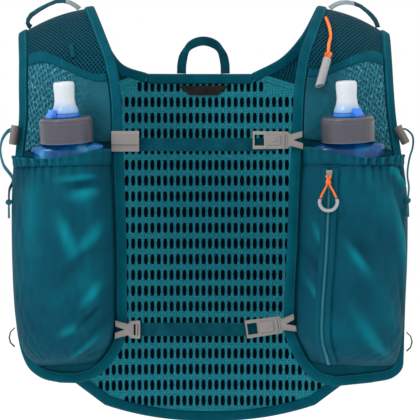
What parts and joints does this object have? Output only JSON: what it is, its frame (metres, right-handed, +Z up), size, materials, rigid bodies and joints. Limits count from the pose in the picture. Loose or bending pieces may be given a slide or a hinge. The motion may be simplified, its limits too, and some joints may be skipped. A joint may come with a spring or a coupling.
{
  "type": "running hydration vest",
  "caption": "Running hydration vest with mesh back, front pockets holding soft flasks with bite valves, sternum straps, haul loop, whistle and elastic cords.",
  "frame": {"origin": "midway between the crests of the two shoulder straps, where the vest sits on the shoulders of its wearer", "axes": "+Z up, -Y towards the front with the pockets, +X towards the side with the zip pocket"},
  "size_m": [0.3845, 0.229, 0.4085],
  "materials": {
    "spacer_mesh": "knitted mesh, matte",
    "strap_mesh": "fine mesh, matte",
    "stretch_cloth": "smooth stretch cloth with a slight sheen",
    "binding_tape": "folded elastic tape, matte",
    "webbing": "flat woven webbing",
    "elastic_cord": "round braided elastic",
    "accent_cord": "round braided cord",
    "label_cloth": "satin cloth",
    "grey_plastic": "moulded, satin",
    "barrel_plastic": "moulded, satin",
    "tube_plastic": "moulded, satin",
    "coil_plastic": "nylon coil",
    "cap_plastic": "moulded, satin",
    "flask_film": "soft translucent film",
    "valve_silicone": "soft translucent silicone",
    "lever_plastic": "moulded, glossy"
  },
  "bodies": {
    "vest": {"back_panel": "spacer_mesh", "neck_binding": "binding_tape", "hem_binding": "binding_tape", "upper_strap": "webbing", "lower_strap": "webbing", "upper_clasp": "grey_plastic", "lower_clasp": "grey_plastic", "lower_hook": "grey_plastic", "strap_keeper": "grey_plastic", "haul_loop": "webbing", "neck_label": "label_cloth", "shoulder_strap_left": "strap_mesh", "front_panel_left": "stretch_cloth", "inner_binding_left": "binding_tape", "outer_binding_left": "binding_tape", "side_wing_left": "spacer_mesh", "pocket_cuff_left": "stretch_cloth", "pocket_left": "stretch_cloth", "stash_hem_left": "binding_tape", "stash_pocket_left": "spacer_mesh", "flask_left": "flask_film", "flask_cap_left": "cap_plastic", "bite_valve_left": "valve_silicone", "shoulder_loop_left": "webbing", "side_loop_left": "webbing", "barrel_lock_left": "barrel_plastic", "elastic_cord_left": "elastic_cord", "shoulder_strap_right": "strap_mesh", "front_panel_right": "stretch_cloth", "inner_binding_right": "binding_tape", "outer_binding_right": "binding_tape", "side_wing_right": "spacer_mesh", "pocket_cuff_right": "stretch_cloth", "pocket_right": "stretch_cloth", "stash_hem_right": "binding_tape", "stash_pocket_right": "spacer_mesh", "flask_right": "flask_film", "flask_cap_right": "cap_plastic", "bite_valve_right": "valve_silicone", "shoulder_loop_right": "webbing", "side_loop_right": "webbing", "barrel_lock_right": "barrel_plastic", "elastic_cord_right": "elastic_cord", "strap_tab": "webbing", "whistle_cord": "accent_cord", "whistle": "tube_plastic", "zip_tape": "binding_tape", "zip_coil": "coil_plastic", "zip_slider": "grey_plastic", "zip_pull_cord": "accent_cord", "zip_pull_grip": "tube_plastic"},
    "lever_left": {"valve_lever_left": "lever_plastic"},
    "lever_right": {"valve_lever_right": "lever_plastic"}
  },
  "joints": [
    {"name": "valve_lever_left_turn", "type": "hinge", "parent": "vest", "child": "lever_left", "pos_m": [-0.13155, -0.11034, -0.09192], "axis": [-0.0519, -0.1219, 0.9912], "range_deg": [0, 90]},
    {"name": "valve_lever_right_turn", "type": "hinge", "parent": "vest", "child": "lever_right", "pos_m": [0.12486, -0.10953, -0.09106], "axis": [-0.0433, -0.1219, 0.9916], "range_deg": [-90, 0]}
  ]
}
